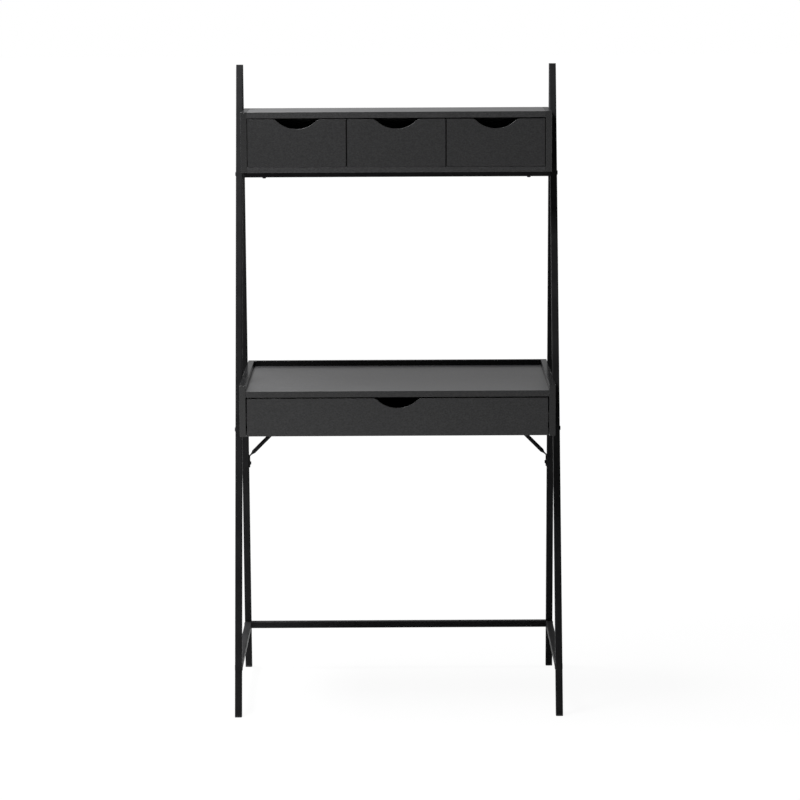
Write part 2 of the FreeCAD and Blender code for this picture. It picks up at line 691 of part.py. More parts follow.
def hutch_drawers():
    """The three small drawers, which slide on the hutch floor."""
    box_half = f"(({HUTCH_BAY} - sizes.divider_board) / 2 - sizes.box_play)"
    low_z = f"({HUTCH_FLOOR_TOP} + sizes.floor_gap)"
    high_z = f"({HUTCH_UNDER} - sizes.front_gap)"
    half = f"(({HUTCH_BAY} - sizes.front_gap) / 2)"
    for bay, step in BAYS.items():
        x = f"({step} * {HUTCH_BAY})"
        front_low = (f"({x} - {half})", low_z)
        front_high = (f"({x} + {half})", high_z)
        drawer(f"hutch_{bay}_drawer", x, front_low, front_high, HUTCH_FRONT, box_half, HUTCH_FLOOR_TOP,
               "sizes.hutch_drawer_height", f"({HUTCH_BACK} - sizes.rear_gap)", "sizes.hutch_drawer_board")


def rail(label, sign, points, y):
    """A pressed steel rail along Y. Its section's points are (distance from the case side, height)."""
    body = keep(new_body(label))
    sketch = new_sketch(body, "XZ_Plane", f"-{y}")
    draw_outline(sketch, [(f"{sign} * ({BOARD_INNER} - {depth})", height) for depth, height in points])
    add_pad(body, sketch, f"{RUNNER_END} - {RUNNER_START}", backwards=True)


def channel(outer, inner, web, low, high, wall):
    """A channel section: its back at web, its flanges reaching from there to outer."""
    return [
        (web, low),
        (outer, low),
        (outer, f"({low} + {wall})"),
        (inner, f"({low} + {wall})"),
        (inner, f"({high} - {wall})"),
        (outer, f"({high} - {wall})"),
        (outer, high),
        (web, high),
    ]


def desk_drawer():
    """The wide drawer and its pair of runners."""
    box_low = f"({DESK_FLOOR_TOP} + sizes.desk_drawer_lift)"
    half = f"({BOARD_INNER} - sizes.front_gap)"
    front_low = (f"(-{half})", f"({DESK_BOTTOM} + sizes.desk_front_lift)")
    front_high = (half, f"({DESK_UNDER} - sizes.front_gap)")
    drawer("desk_drawer", "0", front_low, front_high, DESK_FRONT, f"({BOARD_INNER} - sizes.runner_space)",
           box_low, "sizes.desk_drawer_height", RUNNER_END, "sizes.desk_drawer_board")
    low = f"({box_low} + sizes.runner_rise)"
    high = f"({low} + sizes.runner_height)"
    inset = "(sizes.runner_wall + sizes.runner_play)"
    case = channel("sizes.runner_reach", "sizes.runner_wall", "0", low, high, "sizes.runner_wall")
    moving = channel(inset, "(sizes.runner_space - sizes.runner_wall)", "sizes.runner_space",
                     f"({low} + {inset})", f"({high} - {inset})", "sizes.runner_wall")
    for side, sign in SIDES.items():
        rail(f"{side}_case_runner", sign, case, f"({RUNNER_START} + sizes.front_gap)")
        rail(f"{side}_drawer_runner", sign, moving, RUNNER_START)


def fastener(label, kind, length, point, rotation):
    """A bolt or screw with a domed head on its own +Z side. Its socket is six-sided."""
    body = new_body(label)
    add_round(body, "Additive", f"sizes.{kind}_head", f"sizes.{kind}_head_height", ("0", "0", "0"), UPRIGHT)
    doc.recompute()
    head = body.Tip
    top = head.Shape.BoundBox.ZMax
    rim = next(f"Edge{index}" for index, edge in enumerate(head.Shape.Edges, start=1)
               if edge.Closed and abs(edge.BoundBox.ZMin - top) < edge.Length * 1e-6)
    dome = body.newObject("PartDesign::Fillet", f"{body.Name}_dome")
    dome.Base = (head, [rim])
    dome.setExpression("Radius", f"sizes.{kind}_head_height / 2")
    add_round(body, "Additive", f"sizes.{kind}_shank", length, ("0", "0", f"-{length}"), UPRIGHT)
    socket = body.newObject("PartDesign::SubtractivePrism", f"{body.Name}_socket")
    socket.setExpression("Circumradius", f"sizes.{kind}_socket / 2")
    socket.setExpression("Height", f"2 * sizes.{kind}_socket_depth")
    place(socket, ("0", "0", f"sizes.{kind}_head_height - sizes.{kind}_socket_depth"))
    place(body, point, rotation)
    return body


def insert(label, sign, y, z):
    """A threaded insert in a side board."""
    body = new_body(label)
    start, end = mirrored(sign, f"({LEG_INNER} - sizes.insert_length)", LEG_INNER)
    add_round(body, "Additive", "sizes.insert_outside", f"{end} - {start}", (start, y, z), ALONG_X)
    add_round(body, "Subtractive", BOLT_HOLE, f"{end} - {start}", (start, y, z), ALONG_X)
    return body


def frame_bolts(label, y, z, length):
    """A bolt through the same place on both side frames, heads outside."""
    bolts = []
    for side, sign in SIDES.items():
        rotation = ALONG_X if sign > 0 else ALONG_MINUS_X
        bolts.append(fastener(f"{side}_{label}", "bolt", length, (f"{sign} * {LEG_OUTER}", y, z), rotation))
    group(label, bolts)


def fasteners():
    """Every bolt, screw and threaded insert."""
    into_tube = "(sizes.tube + sizes.bolt_grip)"
    into_board = "(sizes.tube + sizes.insert_length - sizes.bolt_play)"
    half = "sizes.tube / 2"
    for label, low, middle in (
        ("desk_tube_bolts", DESK_TUBE_LOW, front_leg_middle),
        ("hutch_tube_bolts", HUTCH_TUBE_LOW, front_leg_middle),
        ("cross_bar_bolts", "sizes.stretcher_height", rear_leg_middle),
    ):
        z = f"({low} + {half})"
        frame_bolts(label, middle(z), z, into_tube)
    for label, z in (("desk_side", DESK_BOLT_Z), ("hutch_side", HUTCH_BOLT_Z)):
        y = rear_leg_middle(z)
        frame_bolts(f"{label}_bolts", y, z, into_board)
        inserts = [insert(f"{side}_{label}_insert", sign, y, z) for side, sign in SIDES.items()]
        group(f"{label}_inserts", inserts)
    up_through_tube = "(sizes.tube + sizes.screw_grip - sizes.bolt_play)"
    for label, low in (("desk_floor_screws", DESK_TUBE_LOW), ("hutch_floor_screws", HUTCH_TUBE_LOW)):
        y = front_leg_middle(f"({low} + {half})")
        screws = []
        for side, sign in SIDES.items():
            point = (f"{sign} * {SCREW_X}", y, low)
            screws.append(fastener(f"{side}_{label}", "screw", up_through_tube, point, TURNED_DOWN))
        group(label, screws)
    y = rear_leg_middle(BRACE_SCREW_Z)
    short = "(sizes.brace_strip + sizes.screw_grip - sizes.bolt_play)"
    screws = []
    for side, sign in SIDES.items():
        into_leg = (f"{sign} * ({LEG_INNER} - sizes.brace_strip)", y, BRACE_SCREW_Z)
        into_floor = (f"{sign} * {BRACE_SCREW_X}", y, f"({DESK_TUBE_TOP} - sizes.brace_strip)")
        inwards = ALONG_MINUS_X if sign > 0 else ALONG_X
        screws.append(fastener(f"{side}_brace_leg_screw", "screw", short, into_leg, inwards))
        screws.append(fastener(f"{side}_brace_floor_screw", "screw", short, into_floor, TURNED_DOWN))
    group("brace_screws", screws)


def check():
    """Stop unless every object is sound, every cut removes material and every piece is a valid solid."""
    for item in doc.Objects:
        bad = {"Invalid", "Error"} & set(item.State)
        if bad:
            raise RuntimeError(f"{item.Label}: {bad}")
        if item.isDerivedFrom("PartDesign::Body"):
            solids = [part for part in item.Group if part.isDerivedFrom("PartDesign::Feature")]
            for before, after in zip(solids, solids[1:]):
                cuts = "Subtractive" in after.TypeId or after.TypeId.endswith("Pocket")
                if cuts and after.Shape.Volume >= before.Shape.Volume:
                    raise RuntimeError(f"{after.Label} cuts nothing")
            if len(item.Shape.Solids) != 1:
                raise RuntimeError(f"{item.Label} has {len(item.Shape.Solids)} solids")
    for piece in pieces:
        if piece.Shape.isNull() or not piece.Shape.isValid():
            raise RuntimeError(f"{piece.Label} has no valid shape")


def main():
    """Build the desk and write one file for each piece."""
    fill_sheet()
    for side, sign in SIDES.items():
        rear_leg(side, sign)
        front_leg(side, sign)
        side_stretcher(side, sign)
        brace(side, sign)
    end_caps()
    bar_z = "sizes.stretcher_height"
    cross_tube("rear_cross_bar", rear_leg_middle(f"({bar_z} + sizes.tube / 2)"), bar_z)
    for label, low in (("desk_cross_tube", DESK_TUBE_LOW), ("hutch_cross_tube", HUTCH_TUBE_LOW)):
        cross_tube(label, front_leg_middle(f"({low} + sizes.tube / 2)"), low, screwed=True)
    desk_unit()
    hutch()
    desk_drawer()
    hutch_drawers()
    fasteners()
    doc.recompute()
    check()
    os.makedirs("parts", exist_ok=True)
    for piece in pieces:
        piece.Shape.exportStep(os.path.join("parts", f"{piece.Label}.step"))
    print(len(pieces), "pieces written")


main()
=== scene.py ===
"""Looks of the ladder desk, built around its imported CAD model.

Two steel A-frames carry a rimmed worktop with a wide drawer and, above it, a hutch with a row of small
drawers. Everything is in metres, in the model's own frame: +Z up, +Y away from the sitter.
"""

from __future__ import annotations

import json
import logging
import math
from dataclasses import dataclass
from enum import Enum
from typing import Any

import bmesh
import bpy
from mathutils import Matrix, Vector

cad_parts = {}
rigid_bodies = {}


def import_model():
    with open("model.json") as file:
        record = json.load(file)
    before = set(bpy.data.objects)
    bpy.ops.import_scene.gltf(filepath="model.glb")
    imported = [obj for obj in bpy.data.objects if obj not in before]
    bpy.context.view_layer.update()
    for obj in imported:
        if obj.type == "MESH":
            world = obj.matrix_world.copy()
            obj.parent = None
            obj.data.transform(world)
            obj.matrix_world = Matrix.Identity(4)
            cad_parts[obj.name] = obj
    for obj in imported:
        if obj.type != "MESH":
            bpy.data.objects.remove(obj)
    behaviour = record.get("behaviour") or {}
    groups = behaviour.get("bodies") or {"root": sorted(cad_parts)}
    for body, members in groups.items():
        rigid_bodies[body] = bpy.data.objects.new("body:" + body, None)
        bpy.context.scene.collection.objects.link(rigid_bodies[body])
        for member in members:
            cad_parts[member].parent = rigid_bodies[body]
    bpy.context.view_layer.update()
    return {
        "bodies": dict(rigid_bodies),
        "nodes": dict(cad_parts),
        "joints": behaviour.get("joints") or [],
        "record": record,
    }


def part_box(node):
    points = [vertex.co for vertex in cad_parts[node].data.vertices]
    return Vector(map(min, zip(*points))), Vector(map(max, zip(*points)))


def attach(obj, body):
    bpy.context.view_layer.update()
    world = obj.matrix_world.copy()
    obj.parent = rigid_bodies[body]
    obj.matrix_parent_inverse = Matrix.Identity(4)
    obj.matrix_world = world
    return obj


LOG = logging.getLogger("ladder_desk")
MM = 0.001
SIDES = ("left", "right")
BAYS = ("left", "middle", "right")
UP = Vector((0, 0, 1))
WHITE = "#ffffff"
# Nearly all of a noise texture's values lie between these.
NOISE_LOW, NOISE_HIGH = 0.3, 0.7

Socket = bpy.types.NodeSocket
Tree = bpy.types.NodeTree
Node = bpy.types.Node
Inputs = dict[str | int, Any]


def mm(value: float) -> float:
    """Turn millimetres into metres."""
    return value * MM


def linear(hex_colour: str) -> tuple[float, float, float, float]:
    """Turn an sRGB hex colour into linear RGBA.

    Args:
        hex_colour: Six hex digits, with or without a leading #.

    Returns:
        The colour as linear red, green, blue and an alpha of one.
    """
    digits = hex_colour.lstrip("#")
    channels = []
    for start in (0, 2, 4):
        value = int(digits[start:start + 2], 16) / 255
        channels.append(value / 12.92 if value <= 0.04045 else ((value + 0.055) / 1.055) ** 2.4)
    return (*channels, 1.0)


def per_metre(size_mm: float) -> float:
    """The texture scale whose pattern repeats about once in the given size."""
    return 1 / mm(size_mm)


def add_node(tree: Tree, kind: str, inputs: Inputs | None = None, **settings: Any) -> Node:
    """Add a node, set its properties, and fill or link its inputs.

    Args:
        tree: The node tree that gets the node.
        kind: The node's type, such as ShaderNodeTexNoise.
        inputs: Input name or index to a value, or to an output socket to link from.
        **settings: Properties of the node itself.

    Returns:
        The new node.
    """
    node = tree.nodes.new(kind)
    for name, value in settings.items():
        setattr(node, name, value)
    for name, value in (inputs or {}).items():
        if isinstance(value, Socket):
            tree.links.new(value, node.inputs[name])
        else:
            node.inputs[name].default_value = value
    return node


class Slot(Enum):
    """The record's slots, and after a dot the finishes that some boards of a slot have of their own."""

    POWDER_COAT = "powder_coat"
    BLACK_BOARD = "black_board"
    BANDED_BOARD_PAINTED_SHADE = "black_board.banded_painted_shade"
    # Two copies of one melamine: the paler one is painted light, the darker one painted shade.
    PAINTED_LIGHT_BOARD = "black_board.painted_light"
    PAINTED_SHADE_BOARD = "black_board.painted_shade"
    HARDBOARD = "hardboard"
    CAP_PLASTIC = "cap_plastic"
    BLACK_BOLT = "black_bolt"
    ZINC_STEEL = "zinc_steel"


@dataclass(frozen=True)
class Finish:
    """What all finishes share: a name, a slot and the means to start a node tree.

    In each finish, a tone span is the stretch of a pattern's values that turns one tone into the other, a
    roughness swing is how far a pattern moves the roughness down and up, and a relief is a bump's strength.
    """

    name: str
    slot: Slot

    def start(self) -> tuple[bpy.types.Material, Tree, Socket]:
        """Make an empty node material.

        Returns:
            The material, its tree and the object coordinates.
        """
        material = bpy.data.materials.new(self.name)
        material.use_nodes = True
        tree = material.node_tree
        tree.nodes.clear()
        place = add_node(tree, "ShaderNodeTexCoord").outputs["Object"]
        return material, tree, place

    def build(self) -> bpy.types.Material:
        """Make the material. Each finish has its own."""
        raise NotImplementedError


@dataclass(frozen=True)
class MelamineBoard(Finish):
    """Melamine-faced board, pressed against a finely pearled plate.

    The eye sees a satin black that turns grey at a low angle, where it takes up the room behind it, with a
    pebbled grain and a faint cloudiness a hand's width across.
    """

    tone: str = "#1f1f20"
    tone_crest: str = "#3a3a3b"
    tone_span: tuple[float, float] = (0.39, 0.73)
    roughness: float = 0.38
    roughness_swing: tuple[float, float] = (-0.01, 0.015)
    ior: float = 1.5
    pearl_mm: float = 2.2
    pearl_stretch: float = 1.6
    pearl_depth_mm: float = 0.02
    pearl_relief: float = 0.35
    cloud_mm: float = 70.0
    cloud_share: float = 0.12

    def build(self) -> bpy.types.Material:
        """Make the material.

        Returns:
            The board's material.
        """
        material, tree, place = self.start()
        # The pressed pearl is about half a millimetre across. It is drawn four times as coarse to show.
        along = add_node(tree, "ShaderNodeMapping", {
            "Vector": place, "Scale": (1 / self.pearl_stretch, 1.0, 1.0)})
        pearl = add_node(tree, "ShaderNodeTexNoise", {
            "Vector": along.outputs["Vector"], "Scale": per_metre(self.pearl_mm),
            "Detail": 3.0, "Roughness": 0.6})
        cloud = add_node(tree, "ShaderNodeTexNoise", {
            "Vector": place, "Scale": per_metre(self.cloud_mm), "Detail": 4.0, "Roughness": 0.55})
        # The cloudiness shifts the share of the grain a little.
        blend = add_node(tree, "ShaderNodeMath", {
            0: cloud.outputs["Fac"], 1: self.cloud_share, 2: pearl.outputs["Fac"]},
            operation="MULTIPLY_ADD")
        share = add_node(tree, "ShaderNodeMapRange", {
            "Value": blend.outputs[0], "From Min": self.tone_span[0], "From Max": self.tone_span[1]})
        colour = add_node(tree, "ShaderNodeMix", {
            "Factor": share.outputs["Result"], "A": linear(self.tone), "B": linear(self.tone_crest)},
            data_type="RGBA")
        gloss = add_node(tree, "ShaderNodeMapRange", {
            "Value": cloud.outputs["Fac"], "From Min": NOISE_LOW, "From Max": NOISE_HIGH,
            "To Min": self.roughness + self.roughness_swing[0],
            "To Max": self.roughness + self.roughness_swing[1]})
        bump = add_node(tree, "ShaderNodeBump", {
            "Height": pearl.outputs["Fac"], "Strength": self.pearl_relief,
            "Distance": mm(self.pearl_depth_mm)})
        shader = add_node(tree, "ShaderNodeBsdfPrincipled", {
            "Base Color": colour.outputs["Result"], "Roughness": gloss.outputs["Result"],
            "Normal": bump.outputs["Normal"], "IOR": self.ior})
        add_node(tree, "ShaderNodeOutputMaterial", {"Surface": shader.outputs["BSDF"]})
        return material


@dataclass(frozen=True)
class PowderCoat(Finish):
    """Polyester powder coat, melted on in an oven.

    The eye sees a nearly matt black with a soft orange peel, so the faint sheen along a tube breaks up.
    """

    tone: str = "#242425"
    tone_dull: str = "#2b2b2c"
    tone_span: tuple[float, float] = (0.35, 0.68)
    roughness: float = 0.5
    roughness_swing: tuple[float, float] = (-0.04, 0.05)
    ior: float = 1.5
    specular: float = 0.05
    peel_mm: float = 2.2
    peel_depth_mm: float = 0.06
    peel_relief: float = 0.4
    cloud_mm: float = 45.0

    def build(self) -> bpy.types.Material:
        """Make the material.

        Returns:
            The tube paint's material.
        """
        material, tree, place = self.start()
        peel = add_node(tree, "ShaderNodeTexNoise", {
            "Vector": place, "Scale": per_metre(self.peel_mm), "Detail": 2.0, "Roughness": 0.4})
        cloud = add_node(tree, "ShaderNodeTexNoise", {
            "Vector": place, "Scale": per_metre(self.cloud_mm), "Detail": 3.0})
        share = add_node(tree, "ShaderNodeMapRange", {
            "Value": cloud.outputs["Fac"], "From Min": self.tone_span[0], "From Max": self.tone_span[1]})
        colour = add_node(tree, "ShaderNodeMix", {
            "Factor": share.outputs["Result"], "A": linear(self.tone), "B": linear(self.tone_dull)},
            data_type="RGBA")
        gloss = add_node(tree, "ShaderNodeMapRange", {
            "Value": peel.outputs["Fac"], "From Min": NOISE_LOW, "From Max": NOISE_HIGH,
            "To Min": self.roughness + self.roughness_swing[0],
            "To Max": self.roughness + self.roughness_swing[1]})
        bump = add_node(tree, "ShaderNodeBump", {
            "Height": peel.outputs["Fac"], "Strength": self.peel_relief,
            "Distance": mm(self.peel_depth_mm)})
        shader = add_node(tree, "ShaderNodeBsdfPrincipled", {
            "Base Color": colour.outputs["Result"], "Roughness": gloss.outputs["Result"],
            "Normal": bump.outputs["Normal"], "IOR": self.ior, "Specular IOR Level": self.specular})
        add_node(tree, "ShaderNodeOutputMaterial", {"Surface": shader.outputs["BSDF"]})
        return material


@dataclass(frozen=True)
class FacedFibreboard(Finish):
    """Fibreboard with a printed black face.

    The eye sees a duller black than the boards', with short pressed fibres under it.
    """

    tone: str = "#232221"
    tone_fibre: str = "#32302e"
    tone_span: tuple[float, float] = (0.42, 0.7)
    roughness: float = 0.66
    roughness_swing: tuple[float, float] = (-0.08, 0.1)
    fibre_mm: float = 2.5
    fibre_stretch: float = 7.0
    fibre_depth_mm: float = 0.08
    fibre_relief: float = 0.5

    def build(self) -> bpy.types.Material:
        """Make the material.

        Returns:
            The drawer bottoms' and dividers' material.
        """
        material, tree, place = self.start()
        # Pressed fibres are about half a millimetre wide. They are drawn five times as coarse to show.
        along = add_node(tree, "ShaderNodeMapping", {
            "Vector": place, "Scale": (1 / self.fibre_stretch, 1.0, 1.0)})
        fibre = add_node(tree, "ShaderNodeTexNoise", {
            "Vector": along.outputs["Vector"], "Scale": per_metre(self.fibre_mm),
            "Detail": 5.0, "Roughness": 0.7})
        share = add_node(tree, "ShaderNodeMapRange", {
            "Value": fibre.outputs["Fac"], "From Min": self.tone_span[0], "From Max": self.tone_span[1]})
        colour = add_node(tree, "ShaderNodeMix", {
            "Factor": share.outputs["Result"], "A": linear(self.tone), "B": linear(self.tone_fibre)},
            data_type="RGBA")
        gloss = add_node(tree, "ShaderNodeMapRange", {
            "Value": fibre.outputs["Fac"],
            "To Min": self.roughness + self.roughness_swing[0],
            "To Max": self.roughness + self.roughness_swing[1]})
        bump = add_node(tree, "ShaderNodeBump", {
            "Height": fibre.outputs["Fac"], "Strength": self.fibre_relief,
            "Distance": mm(self.fibre_depth_mm)})
        shader = add_node(tree, "ShaderNodeBsdfPrincipled", {
            "Base Color": colour.outputs["Result"], "Roughness": gloss.outputs["Result"],
            "Normal": bump.outputs["Normal"]})
        add_node(tree, "ShaderNodeOutputMaterial", {"Surface": shader.outputs["BSDF"]})
        return material


@dataclass(frozen=True)
class MouldedPolypropylene(Finish):
    """Moulded polypropylene with a spark-eroded grain.

    The eye sees an even, slightly waxy black, finely sanded by the mould.
    """

    tone: str = "#1f1f20"
    roughness: float = 0.52
    roughness_swing: tuple[float, float] = (-0.06, 0.08)
    ior: float = 1.49
    grain_mm: float = 0.8
    grain_depth_mm: float = 0.03
    grain_relief: float = 0.5

    def build(self) -> bpy.types.Material:
        """Make the material.

        Returns:
            The end caps' material.
        """
        material, tree, place = self.start()
        # The mould's grain is about a fifth of a millimetre across. It is drawn four times as coarse to show.
        grain = add_node(tree, "ShaderNodeTexNoise", {
            "Vector": place, "Scale": per_metre(self.grain_mm), "Detail": 2.0, "Roughness": 0.5})
        gloss = add_node(tree, "ShaderNodeMapRange", {
            "Value": grain.outputs["Fac"], "From Min": NOISE_LOW, "From Max": NOISE_HIGH,
            "To Min": self.roughness + self.roughness_swing[0],
            "To Max": self.roughness + self.roughness_swing[1]})
        bump = add_node(tree, "ShaderNodeBump", {
            "Height": grain.outputs["Fac"], "Strength": self.grain_relief,
            "Distance": mm(self.grain_depth_mm)})
        shader = add_node(tree, "ShaderNodeBsdfPrincipled", {
            "Base Color": linear(self.tone), "Roughness": gloss.outputs["Result"],
            "Normal": bump.outputs["Normal"], "IOR": self.ior})
        add_node(tree, "ShaderNodeOutputMaterial", {"Surface": shader.outputs["BSDF"]})
        return material


@dataclass(frozen=True)
class BlackOxideSteel(Finish):
    """Steel blackened in a hot oxide bath and oiled.

    The eye sees a dark metal sheen with small cloudy patches.
    """

    tone: str = "#26262a"
    tone_bare: str = "#3a3a3e"
    tone_span: tuple[float, float] = (0.4, 0.72)
    roughness: float = 0.34
    roughness_swing: tuple[float, float] = (-0.08, 0.14)
    patch_mm: float = 3.0

    def build(self) -> bpy.types.Material:
        """Make the material.

        Returns:
            The bolts' and screws' material.
        """
        material, tree, place = self.start()
        patch = add_node(tree, "ShaderNodeTexNoise", {
            "Vector": place, "Scale": per_metre(self.patch_mm), "Detail": 4.0, "Roughness": 0.6})
        share = add_node(tree, "ShaderNodeMapRange", {
            "Value": patch.outputs["Fac"], "From Min": self.tone_span[0], "From Max": self.tone_span[1]})
        colour = add_node(tree, "ShaderNodeMix", {
            "Factor": share.outputs["Result"], "A": linear(self.tone), "B": linear(self.tone_bare)},
            data_type="RGBA")
        gloss = add_node(tree, "ShaderNodeMapRange", {
            "Value": patch.outputs["Fac"],
            "To Min": self.roughness + self.roughness_swing[0],
            "To Max": self.roughness + self.roughness_swing[1]})
        shader = add_node(tree, "ShaderNodeBsdfPrincipled", {
            "Base Color": colour.outputs["Result"], "Roughness": gloss.outputs["Result"], "Metallic": 1.0})
        add_node(tree, "ShaderNodeOutputMaterial", {"Surface": shader.outputs["BSDF"]})
        return material


@dataclass(frozen=True)
class BlackZincPlate(Finish):
    """Cold-rolled steel, pressed, zinc plated and passivated black.

    The eye sees a dark, faintly warm metal with fine lines from the rolling, running along the rail.
    """

    tone: str = "#4b4a4a"
    tone_dull: str = "#3d3d3f"
    roughness: float = 0.34
    roughness_swing: tuple[float, float] = (-0.08, 0.12)
    line_mm: float = 0.6
    line_stretch: float = 60.0
    line_depth_mm: float = 0.02
    line_relief: float = 0.25
    bloom_mm: float = 18.0

    def build(self) -> bpy.types.Material:
        """Make the material.

        Returns:
            The runners' and inserts' material.
        """
        material, tree, place = self.start()
        # Rolling leaves lines about a tenth of a millimetre wide. They are drawn six times as coarse to show.
        along = add_node(tree, "ShaderNodeMapping", {
            "Vector": place, "Scale": (1.0, 1 / self.line_stretch, 1.0)})
        lines = add_node(tree, "ShaderNodeTexNoise", {
            "Vector": along.outputs["Vector"], "Scale": per_metre(self.line_mm),
            "Detail": 3.0, "Roughness": 0.6})
        bloom = add_node(tree, "ShaderNodeTexNoise", {
            "Vector": place, "Scale": per_metre(self.bloom_mm), "Detail": 4.0})
        colour = add_node(tree, "ShaderNodeMix", {
            "Factor": bloom.outputs["Fac"], "A": linear(self.tone), "B": linear(self.tone_dull)},
            data_type="RGBA")
        gloss = add_node(tree, "ShaderNodeMapRange", {
            "Value": lines.outputs["Fac"], "From Min": NOISE_LOW, "From Max": NOISE_HIGH,
            "To Min": self.roughness + self.roughness_swing[0],
            "To Max": self.roughness + self.roughness_swing[1]})
        bump = add_node(tree, "ShaderNodeBump", {
            "Height": lines.outputs["Fac"], "Strength": self.line_relief,
            "Distance": mm(self.line_depth_mm)})
        shader = add_node(tree, "ShaderNodeBsdfPrincipled", {
            "Base Color": colour.outputs["Result"], "Roughness": gloss.outputs["Result"],
            "Normal": bump.outputs["Normal"], "Metallic": 1.0})
        add_node(tree, "ShaderNodeOutputMaterial", {"Surface": shader.outputs["BSDF"]})
        return material


FINISHES: tuple[Finish, ...] = (
    MelamineBoard("melamine_faced_board", Slot.BLACK_BOARD),
    # The side boards and the worktop's back are banded with smooth plastic: their top edges mirror the legs.
    # The band's darker tone is painted shade, drawn for the rim round the worktop, which little light
    # reaches.
    MelamineBoard(
        "polished_edge_band_painted_shade", Slot.BANDED_BOARD_PAINTED_SHADE, tone="#131314", tone_crest="#212122", roughness=0.2),
    # One melamine in two copies: painted light pales the hutch's case, painted shade darkens its drawer
    # fronts.
    MelamineBoard("melamine_board_painted_light", Slot.PAINTED_LIGHT_BOARD, tone="#262627", tone_crest="#424243"),
    MelamineBoard("melamine_board_painted_shade", Slot.PAINTED_SHADE_BOARD, tone="#1b1b1c", tone_crest="#353536"),
    PowderCoat("polyester_powder_coat", Slot.POWDER_COAT),
    FacedFibreboard("faced_fibreboard", Slot.HARDBOARD),
    MouldedPolypropylene("moulded_polypropylene", Slot.CAP_PLASTIC),
    BlackOxideSteel("black_oxide_steel", Slot.BLACK_BOLT),
    BlackZincPlate("black_zinc_plated_steel", Slot.ZINC_STEEL),
)


def dress(piece: bpy.types.Object, material: bpy.types.Material) -> None:
    """Give a piece one material in place of whatever it has."""
    piece.data.materials.clear()
    piece.data.materials.append(material)


@dataclass
class SubAssembly:
    """What all sub-assemblies share: the loaded frame and the finished materials."""

    frame: dict[str, Any]
    materials: dict[Slot, bpy.types.Material]

    def build(self) -> None:
        """Model the pieces that the frame doesn't hold. Most sub-assemblies have none."""

    def dress(self) -> None:
        """Give each node of the sub-assembly its finish."""
        raise NotImplementedError

    def finish_nodes(self, slot: Slot, *names: str) -> None:
        """Give nodes of the frame the finish of a slot.

        Args:
            slot: The finish's slot.
            *names: The nodes.
        """
        for name in names:
            dress(self.frame["nodes"][name], self.materials[slot])
            LOG.info("dressed %s in %s", name, slot.value)

    def add_piece(self, name: str, shape: bmesh.types.BMesh, slot: Slot, body: str) -> None:
        """Turn a finished bmesh into a piece that rides on a body.

        Args:
            name: The piece's name.
            shape: The bmesh, in the model's frame. It is freed.
            slot: The slot of the piece's finish.
            body: The body that the piece moves with.
        """
        mesh = bpy.data.meshes.new(name)
        bmesh.ops.recalc_face_normals(shape, faces=shape.faces)
        shape.to_mesh(mesh)
        shape.free()
        mesh.shade_smooth()
        piece = bpy.data.objects.new(name, mesh)
        bpy.context.scene.collection.objects.link(piece)
        dress(piece, self.materials[slot])
        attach(piece, body)
        LOG.info("made %s on %s", name, body)


@dataclass(frozen=True)
class WeldBead:
    """A rippled bead of weld metal: its radius, the pitch of its ripples and how far they swell."""

    radius_mm: float = 1.6
    ripple_mm: float = 2.4
    swell: float = 0.09
    step_mm: float = 0.8
    segments: int = 8

    def lay(self, shape: bmesh.types.BMesh, corners: list[Vector], lift: Vector, closed: bool) -> None:
        """Lay the bead along straight runs in one plane.

        Args:
            shape: The bmesh that gets the bead.
            corners: The ends of the runs, in metres.
            lift: The plane's normal.
            closed: Whether the last run comes back to the first corner.
        """
        rings: list[list[bmesh.types.BMEdge]] = []
        travelled = 0.0
        for start, end in zip(corners, corners[1:] + corners[:1] if closed else corners[1:]):
            heading = (end - start).normalized()
            count = max(1, round((end - start).length / mm(self.step_mm)))
            ends_here = not closed and end is corners[-1]
            for index in range(count + 1 if ends_here else count):
                spot = start.lerp(end, index / count)
                rings.append(self.ring(shape, spot, heading, lift, travelled + (spot - start).length))
            travelled += (end - start).length
        for first, second in zip(rings, rings[1:] + rings[:1] if closed else rings[1:]):
            bmesh.ops.bridge_loops(shape, edges=first + second)
        if not closed:
            bmesh.ops.holes_fill(shape, edges=rings[0] + rings[-1], sides=self.segments)

    def ring(self, shape: bmesh.types.BMesh, spot: Vector, heading: Vector, lift: Vector,
             travelled: float) -> list[bmesh.types.BMEdge]:
        """Make one ring of the bead.

        Args:
            shape: The bmesh that gets the ring.
            spot: The ring's centre.
            heading: The way the bead runs there.
            lift: The normal of the plane that the bead lies in.
            travelled: The length of bead before it, in metres, which sets the ripple.

        Returns:
            The ring's edges.
        """
        wave = math.cos(math.tau * travelled / mm(self.ripple_mm))
        turn = Matrix((heading.cross(lift), lift, heading)).transposed().to_4x4()
        made = bmesh.ops.create_circle(
            shape, radius=mm(self.radius_mm) * (1 + self.swell * wave), segments=self.segments,
            matrix=Matrix.Translation(spot) @ turn)
        return list({edge for vert in made["verts"] for edge in vert.link_edges})


